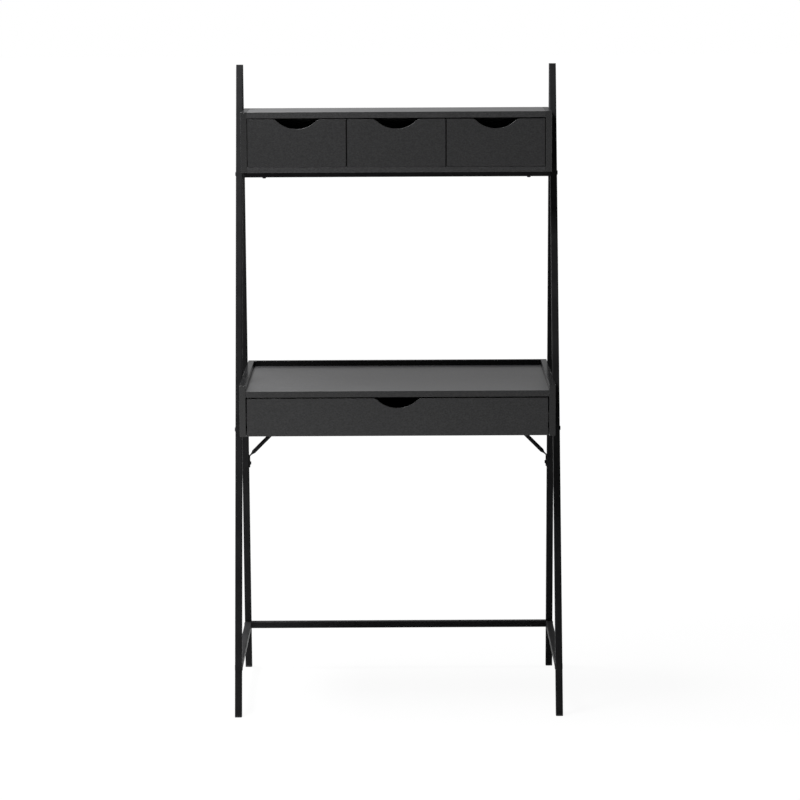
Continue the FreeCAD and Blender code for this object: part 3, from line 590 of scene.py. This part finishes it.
@dataclass
class SideFrames(SubAssembly):
    """Two welded A-frames of square tube, the bars that join them, and the caps in their open ends."""

    front_slope: float = 0.2767
    rear_slope: float = -0.0411
    corner_mm: float = 2.0
    seam_inset_mm: float = 0.5
    crotch_height_mm: float = 1407.0
    crotch_depth_mm: float = 166.1
    bead: WeldBead = WeldBead()

    def build(self) -> None:
        """Weld the side stretchers to the legs, and the front legs to the rear ones."""
        for side in SIDES:
            shape = bmesh.new()
            low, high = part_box(f"{side}_side_stretcher")
            self.lay_seam(shape, low, high, low.y, self.front_slope)
            self.lay_seam(shape, low, high, high.y, self.rear_slope)
            inset = mm(self.corner_mm)
            place = (mm(self.crotch_depth_mm), mm(self.crotch_height_mm))
            ends = [Vector((x, *place)) for x in (low.x + inset, high.x - inset)]
            self.bead.lay(shape, ends, UP, closed=False)
            self.add_piece(f"{side}_weld_beads", shape, Slot.POWDER_COAT, "frame")

    def lay_seam(self, shape: bmesh.types.BMesh, low: Vector, high: Vector, depth: float,
                 slope: float) -> None:
        """Lay a bead round one end of a stretcher, on the face of the leg that it meets.

        Args:
            shape: The bmesh that gets the bead.
            low: The stretcher's lowest corner.
            high: The stretcher's highest corner.
            depth: How far back the leg's face is at the stretcher's underside.
            slope: How far back the face runs in each unit of height.
        """
        inset, cut = mm(self.seam_inset_mm), mm(self.corner_mm)
        left, right = low.x + inset, high.x - inset
        bottom, top = low.z + inset, high.z - inset
        outline = [(left + cut, bottom), (right - cut, bottom), (right, bottom + cut), (right, top - cut),
                   (right - cut, top), (left + cut, top), (left, top - cut), (left, bottom + cut)]
        corners = [Vector((x, depth + slope * (z - low.z), z)) for x, z in outline]
        self.bead.lay(shape, corners, Vector((0, 1, -slope)).normalized(), closed=True)

    def dress(self) -> None:
        """Paint the tubes and leave the caps as moulded."""
        for side in SIDES:
            for tube in ("front_leg", "rear_leg", "side_stretcher"):
                self.finish_nodes(Slot.POWDER_COAT, f"{side}_{tube}")
        self.finish_nodes(Slot.POWDER_COAT, "rear_cross_bar", "desk_cross_tube", "hutch_cross_tube")
        self.finish_nodes(Slot.CAP_PLASTIC, "front_foot_caps", "rear_foot_caps", "leg_top_caps")


@dataclass
class CornerBraces(SubAssembly):
    """The two rods with flattened ends that stiffen the rear legs against the desk."""

    def dress(self) -> None:
        """Paint the braces as the tubes are."""
        self.finish_nodes(Slot.POWDER_COAT, *(f"{side}_corner_brace" for side in SIDES))


@dataclass
class DeskCase(SubAssembly):
    """The worktop with its raised rim, and the case round the wide drawer."""

    def dress(self) -> None:
        """Face the boards and plate the fixed runners."""
        self.finish_nodes(Slot.BLACK_BOARD, "worktop", "desk_floor")
        # The rim's boards take the banded finish, whose darker tone is painted shade.
        self.finish_nodes(Slot.BANDED_BOARD_PAINTED_SHADE, "desk_back", *(f"desk_{side}_side" for side in SIDES))
        self.finish_nodes(Slot.ZINC_STEEL, *(f"{side}_case_runner" for side in SIDES))


@dataclass
class Hutch(SubAssembly):
    """The open case on top with its two dividers."""

    def dress(self) -> None:
        """Face the boards and leave the dividers duller."""
        # The top and floor take the paler copy of the melamine, as painted light.
        self.finish_nodes(Slot.PAINTED_LIGHT_BOARD, "hutch_top", "hutch_floor")
        self.finish_nodes(Slot.BLACK_BOARD, "hutch_back")
        # The sides take the banded finish, whose darker tone is painted shade.
        self.finish_nodes(Slot.BANDED_BOARD_PAINTED_SHADE, *(f"hutch_{side}_side" for side in SIDES))
        self.finish_nodes(Slot.HARDBOARD, "hutch_left_divider", "hutch_right_divider")


@dataclass
class Drawer(SubAssembly):
    """One drawer: a scooped front, three box boards and a thin bottom."""

    name: str = ""
    front: Slot = Slot.BLACK_BOARD
    has_runners: bool = False
    cover_mm: float = 14.0
    cover_proud_mm: float = 0.7
    cover_sunk_mm: float = 1.0
    cover_round_mm: float = 0.56
    cover_inset_mm: float = 24.0
    cover_segments: int = 40
    round_segments: int = 4

    def build(self) -> None:
        """Cover the cam locks that draw the box sides against the front."""
        shape = bmesh.new()
        for side, inward in zip(SIDES, (1, -1)):
            low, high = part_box(f"{self.name}_{side}_side")
            face = high.x if inward > 0 else low.x
            spot = Vector((face, low.y + mm(self.cover_inset_mm), (low.z + high.z) / 2))
            self.press_cover(shape, spot, inward)
        self.add_piece(f"{self.name}_cam_covers", shape, Slot.CAP_PLASTIC, self.name)

    def press_cover(self, shape: bmesh.types.BMesh, spot: Vector, inward: int) -> None:
        """Press one domed cover into the inner face of a box side.

        Args:
            shape: The bmesh that gets the cover.
            spot: The cover's centre on the face.
            inward: 1 where the face looks to the right, -1 where it looks to the left.
        """
        depth = mm(self.cover_sunk_mm + self.cover_proud_mm)
        middle = spot + Vector((inward * (depth / 2 - mm(self.cover_sunk_mm)), 0, 0))
        turn = Matrix.Rotation(inward * math.pi / 2, 4, "Y")
        radius = mm(self.cover_mm / 2)
        made = bmesh.ops.create_cone(
            shape, cap_ends=True, segments=self.cover_segments, radius1=radius, radius2=radius,
            depth=depth, matrix=Matrix.Translation(middle) @ turn)
        rim = [edge for edge in {edge for vert in made["verts"] for edge in vert.link_edges}
               if all((vert.co.x - middle.x) * inward > 0 for vert in edge.verts)]
        bmesh.ops.bevel(
            shape, geom=rim, offset=mm(self.cover_round_mm), offset_type="OFFSET",
            segments=self.round_segments, profile=0.5, affect="EDGES", material=-1)

    def dress(self) -> None:
        """Face the boards, leave the bottom duller, and plate the runners that move with the box."""
        self.finish_nodes(self.front, f"{self.name}_front")
        for part in ("left_side", "right_side", "back"):
            self.finish_nodes(Slot.BLACK_BOARD, f"{self.name}_{part}")
        self.finish_nodes(Slot.HARDBOARD, f"{self.name}_bottom")
        if self.has_runners:
            self.finish_nodes(Slot.ZINC_STEEL, *(f"{side}_drawer_runner" for side in SIDES))


@dataclass
class Fasteners(SubAssembly):
    """Bolts, screws and threaded inserts."""

    def dress(self) -> None:
        """Blacken the bolts and screws and plate the inserts."""
        for place in ("desk_tube", "hutch_tube", "cross_bar", "desk_side", "hutch_side"):
            self.finish_nodes(Slot.BLACK_BOLT, f"{place}_bolts")
        self.finish_nodes(Slot.BLACK_BOLT, "desk_floor_screws", "hutch_floor_screws", "brace_screws")
        self.finish_nodes(Slot.ZINC_STEEL, "desk_side_inserts", "hutch_side_inserts")


@dataclass(frozen=True)
class SoftBox:
    """A rectangular lamp: where it hangs, what it faces, its width and height, and its power."""

    name: str
    place: tuple[float, float, float]
    target: tuple[float, float, float]
    size: tuple[float, float]
    watts: float

    def hang(self) -> None:
        """Hang the lamp, out of the camera's sight."""
        data = bpy.data.lights.new(self.name, "AREA")
        data.shape = "RECTANGLE"
        data.size, data.size_y = self.size
        data.energy = self.watts
        lamp = bpy.data.objects.new(self.name, data)
        lamp.location = self.place
        lamp.rotation_euler = (Vector(self.target) - Vector(self.place)).to_track_quat("-Z", "Y").to_euler()
        lamp.visible_camera = False
        bpy.context.scene.collection.objects.link(lamp)


@dataclass
class Studio:
    """A white sweep, the room that gloss sees, a soft box overhead, and the camera.

    Levels are shares of white, and distances are in metres where their names don't say millimetres.
    """

    floor_half: float = 40.0
    paper_bounce: float = 0.55
    paper_seen: float = 0.06
    floor_glow: float = 0.94
    floor_glow_far: float = 1.0
    glow_near_radius: float = 0.9
    glow_far_radius: float = 3.5
    # Gloss sees a painted pool of light on the floor, bright at the left and falling to the right near the
    # desk.
    floor_painted_light_left: float = 1.0
    floor_painted_light_right: float = 0.13
    floor_gloss_far: float = 0.86
    floor_painted_light_reach: float = 0.8
    gloss_near_radius: float = 6.0
    gloss_far_radius: float = 12.0
    # Heights, as the sine of the angle above the horizon, and the level at each.
    back_levels: tuple[tuple[float, float], ...] = (
        (0.05, 0.26), (0.2, 0.22), (0.38, 0.8), (0.6, 0.8), (0.8, 0.9))
    back_left: float = 1.12
    back_right: float = 0.78
    back_reach: float = 0.06
    back_fade: float = 0.25
    camera_place: tuple[float, float, float] = (0.005734, -6.55997, 1.72759)
    camera_pitch: float = 0.1566
    camera_roll: float = -0.0047
    lens_mm: float = 128.787
    sensor_mm: float = 36.0
    camera_reach: float = 100.0
    soft_boxes: tuple[SoftBox, ...] = (
        SoftBox("overhead_soft_box", (-0.9, 0.0, 2.9), (-0.4, 0.0, 0.7), (1.6, 0.8), 134.0),
    )

    def build(self) -> None:
        """Make the floor, the lights, the world and the camera."""
        self.make_floor()
        self.make_world()
        for box in self.soft_boxes:
            box.hang()
        self.make_camera()

    def make_floor(self) -> None:
        """Lay a pale floor that shows white to the camera and still takes the desk's shadow."""
        shape = bmesh.new()
        bmesh.ops.create_grid(shape, x_segments=2, y_segments=2, size=self.floor_half)
        mesh = bpy.data.meshes.new("studio_floor")
        shape.to_mesh(mesh)
        shape.free()
        floor = bpy.data.objects.new("studio_floor", mesh)
        bpy.context.scene.collection.objects.link(floor)
        dress(floor, self.make_paper())

    def make_paper(self) -> bpy.types.Material:
        """Make the floor's paper.

        It glows just short of white to the camera near the desk, so that the shadow still shows. Gloss sees
        it glow by its own levels, a painted pool of light that falls from left to right near the desk.

        Returns:
            The paper's material.
        """
        material = bpy.data.materials.new("white_sweep")
        material.use_nodes = True
        tree = material.node_tree
        tree.nodes.clear()
        path = add_node(tree, "ShaderNodeLightPath")
        shade = add_node(tree, "ShaderNodeMapRange", {
            "Value": path.outputs["Is Camera Ray"], "To Min": self.paper_bounce, "To Max": self.paper_seen})
        paper = add_node(tree, "ShaderNodeBsdfDiffuse", {"Color": shade.outputs["Result"]})
        place = add_node(tree, "ShaderNodeTexCoord").outputs["Object"]
        reach = add_node(tree, "ShaderNodeVectorMath", {0: place}, operation="LENGTH")
        seen = add_node(tree, "ShaderNodeMapRange", {
            "Value": reach.outputs["Value"],
            "From Min": self.glow_near_radius, "From Max": self.glow_far_radius,
            "To Min": self.floor_glow, "To Max": self.floor_glow_far}, interpolation_type="SMOOTHSTEP")
        to_camera = add_node(tree, "ShaderNodeMath", {
            0: path.outputs["Is Camera Ray"], 1: seen.outputs["Result"]}, operation="MULTIPLY")
        mirrored = add_node(tree, "ShaderNodeMath", {
            0: path.outputs["Is Glossy Ray"], 1: path.outputs["Is Transmission Ray"]}, operation="MAXIMUM")
        # Painted light: the glow that gloss sees falls from left to right near the desk, as a pool of light
        # would.
        across = add_node(tree, "ShaderNodeMapRange", {
            "Value": add_node(tree, "ShaderNodeSeparateXYZ", {0: place}).outputs["X"],
            "From Min": -self.floor_painted_light_reach, "From Max": self.floor_painted_light_reach,
            "To Min": self.floor_painted_light_left, "To Max": self.floor_painted_light_right})
        outward = add_node(tree, "ShaderNodeMapRange", {
            "Value": reach.outputs["Value"],
            "From Min": self.gloss_near_radius, "From Max": self.gloss_far_radius,
            "To Min": across.outputs["Result"], "To Max": self.floor_gloss_far})
        strength = add_node(tree, "ShaderNodeMath", {
            0: mirrored.outputs[0], 1: outward.outputs["Result"], 2: to_camera.outputs[0]},
            operation="MULTIPLY_ADD")
        glow = add_node(tree, "ShaderNodeEmission", {
            "Color": linear(WHITE), "Strength": strength.outputs[0]})
        both = add_node(tree, "ShaderNodeAddShader", {
            0: paper.outputs["BSDF"], 1: glow.outputs["Emission"]})
        add_node(tree, "ShaderNodeOutputMaterial", {"Surface": both.outputs["Shader"]})
        return material

    def make_world(self) -> None:
        """Make a room that is white to the eye, and that gloss sees brighter with height behind the desk.

        The sitter's side of it is dark, as the black rim at the back of the worktop shows.
        """
        world = bpy.data.worlds.new("white_room")
        bpy.context.scene.world = world
        world.use_nodes = True
        tree = world.node_tree
        tree.nodes.clear()
        way = add_node(tree, "ShaderNodeSeparateXYZ", {
            0: add_node(tree, "ShaderNodeTexCoord").outputs["Generated"]})
        path = add_node(tree, "ShaderNodeLightPath")
        levels = add_node(tree, "ShaderNodeValToRGB", {"Fac": way.outputs["Z"]})
        stops = levels.color_ramp.elements
        # A new ramp has two stops already.
        for height, _ in self.back_levels[2:]:
            stops.new(height)
        for stop, (height, level) in zip(stops, self.back_levels):
            stop.position, stop.color = height, (level, level, level, 1.0)
        behind = add_node(tree, "ShaderNodeMapRange", {
            "Value": way.outputs["Y"], "From Max": self.back_fade})
        across = add_node(tree, "ShaderNodeMapRange", {
            "Value": way.outputs["X"], "From Min": -self.back_reach, "From Max": self.back_reach,
            "To Min": self.back_left, "To Max": self.back_right})
        share = add_node(tree, "ShaderNodeMath", {
            0: behind.outputs["Result"], 1: across.outputs["Result"]}, operation="MULTIPLY")
        room = add_node(tree, "ShaderNodeMath", {
            0: levels.outputs["Color"], 1: share.outputs[0]}, operation="MULTIPLY")
        seen = add_node(tree, "ShaderNodeMath", {
            0: path.outputs["Is Camera Ray"], 1: path.outputs["Is Transmission Ray"]}, operation="MAXIMUM")
        strength = add_node(tree, "ShaderNodeMath", {
            0: seen.outputs[0], 1: room.outputs[0]}, operation="MAXIMUM")
        light = add_node(tree, "ShaderNodeBackground", {
            "Color": linear(WHITE), "Strength": strength.outputs[0]})
        add_node(tree, "ShaderNodeOutputWorld", {"Surface": light.outputs["Background"]})

    def make_camera(self) -> None:
        """Set the camera where the photograph was taken from."""
        data = bpy.data.cameras.new("front_camera")
        data.lens = self.lens_mm
        data.sensor_width = self.sensor_mm
        data.clip_end = self.camera_reach
        camera = bpy.data.objects.new("front_camera", data)
        level = Matrix.Rotation(math.pi / 2 - self.camera_pitch, 4, "X")
        roll = Matrix.Rotation(self.camera_roll, 4, "Z")
        camera.matrix_world = Matrix.Translation(self.camera_place) @ level @ roll
        bpy.context.scene.collection.objects.link(camera)
        bpy.context.scene.camera = camera


def main() -> None:
    """Load the frame, build and dress each sub-assembly, and light it."""
    logging.basicConfig(level=logging.INFO, format="%(name)s: %(message)s")
    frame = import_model()
    bpy.context.scene.view_settings.view_transform = "Standard"
    shared = (frame, {finish.slot: finish.build() for finish in FINISHES})
    desk: list[SubAssembly] = [
        SideFrames(*shared),
        CornerBraces(*shared),
        DeskCase(*shared),
        Drawer(*shared, name="desk_drawer", has_runners=True),
        Hutch(*shared),
        # The hutch's drawer fronts take the darker copy of the melamine, as painted shade.
        *(Drawer(*shared, name=f"hutch_{bay}_drawer", front=Slot.PAINTED_SHADE_BOARD) for bay in BAYS),
        Fasteners(*shared),
    ]
    for sub_assembly in desk:
        sub_assembly.build()
        sub_assembly.dress()
    Studio().build()


if __name__ == "__main__":
    main()
